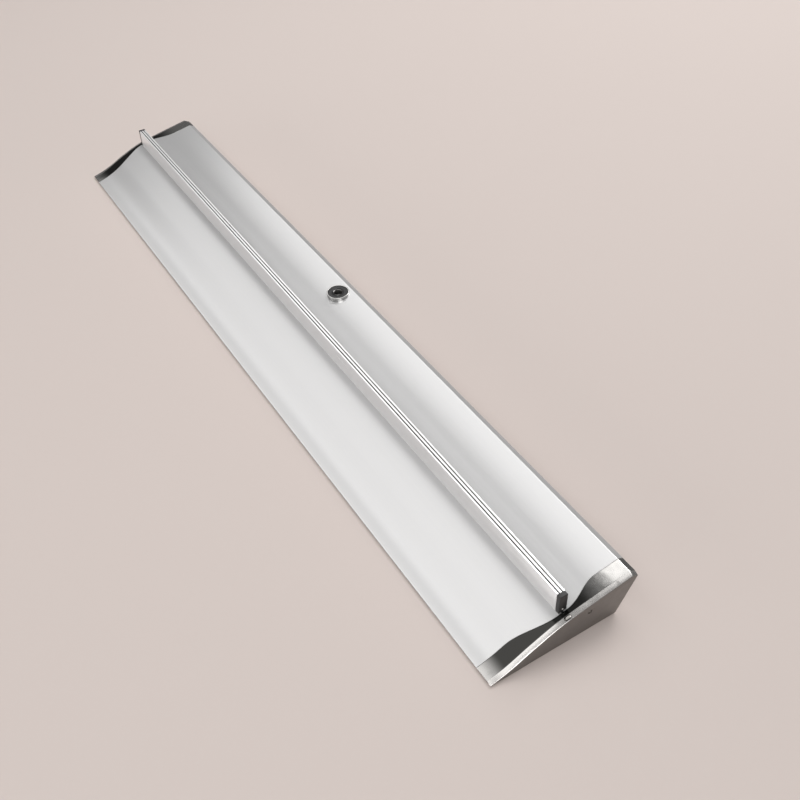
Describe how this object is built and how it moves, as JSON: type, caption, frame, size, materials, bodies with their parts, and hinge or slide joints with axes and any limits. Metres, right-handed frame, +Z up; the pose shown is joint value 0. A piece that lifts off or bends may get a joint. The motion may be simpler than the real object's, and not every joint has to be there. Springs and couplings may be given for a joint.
{
  "type": "roll-up banner stand",
  "caption": "Closed roll-up banner stand: wedge-shaped aluminium cassette base with chrome end caps, spring roller, clamp rail along its top slot, pole socket and a stowed sectional pole.",
  "frame": {"origin": "middle of the footprint, on the surface the stand rests on", "axes": "+X along the stand towards the end with the release button, +Y towards the tall back edge, +Z up"},
  "size_m": [1.0306, 0.1624, 0.0577],
  "materials": {
    "satin_aluminium": "satin anodised",
    "chrome": "bright",
    "black_plastic": "moulded, slightly glossy",
    "grey_plastic": "moulded, matte",
    "steel": "plain bright steel",
    "white_film": "matte printable film, blank",
    "rubber": "matte"
  },
  "bodies": {
    "base": {"bracket_screw_back_far": "steel", "bracket_screw_back_near": "steel", "bracket_screw_front_far": "steel", "bracket_screw_front_near": "steel", "button_spring": "steel", "cap_screw_far": "steel", "cap_screw_near": "steel", "end_cap_far": "chrome", "end_cap_near": "chrome", "foot_pad_back_far": "rubber", "foot_pad_back_near": "rubber", "foot_pad_front_far": "rubber", "foot_pad_front_near": "rubber", "housing_extrusion": "satin_aluminium", "idler_pin": "steel", "pole_clip_far": "black_plastic", "pole_clip_near": "black_plastic", "pole_ferrule_lower": "steel", "pole_ferrule_middle": "steel", "pole_hook": "black_plastic", "pole_lower": "satin_aluminium", "pole_middle": "satin_aluminium", "pole_spigot": "black_plastic", "pole_upper": "satin_aluminium", "roller_bracket_far": "grey_plastic", "roller_bracket_near": "grey_plastic", "socket_bush": "steel", "socket_collar": "chrome", "socket_insert": "black_plastic", "spring_collar": "grey_plastic", "spring_shaft": "steel"},
    "roller": {"roller_tube": "satin_aluminium", "roller_plug_near": "grey_plastic", "roller_plug_far": "grey_plastic", "graphic_roll": "white_film", "spring_anchor": "grey_plastic", "torsion_spring": "steel"},
    "rail": {"rail_front_jaw": "satin_aluminium", "rail_spine": "satin_aluminium", "graphic_clamp_strip": "grey_plastic", "graphic_sheet": "white_film", "rail_plug_near": "black_plastic", "rail_plug_far": "black_plastic", "plug_stud_near": "steel", "plug_stud_far": "steel"},
    "rail_jaw": {"rail_rear_jaw": "satin_aluminium"},
    "button": {"release_button": "chrome"}
  },
  "joints": [
    {"name": "rail_lift", "type": "slide", "parent": "base", "child": "rail", "axis": [0, 0, 1], "range_m": [0, 2]},
    {"name": "roller_spin", "type": "hinge", "parent": "base", "child": "roller", "pos_m": [0, 0.01787, 0.01927], "axis": [1, 0, 0], "range_deg": [-9610, 0], "stiffness_Nm_per_rad": 0.0011, "springref_deg": 4297.18},
    {"name": "jaw_open", "type": "hinge", "parent": "rail", "child": "rail_jaw", "pos_m": [0, 0.00512, 0.05565], "axis": [1, 0, 0], "range_deg": [0, 25]},
    {"name": "release_press", "type": "slide", "parent": "base", "child": "button", "axis": [0, 0, -1], "range_m": [0, 0.002], "stiffness_N_per_m": 400, "springref_m": -0.002, "deforming": ["button_spring"]}
  ],
  "couplings": [
    {"joint": "roller_spin", "follows": "rail_lift", "rad_per_m": -83.8}
  ]
}
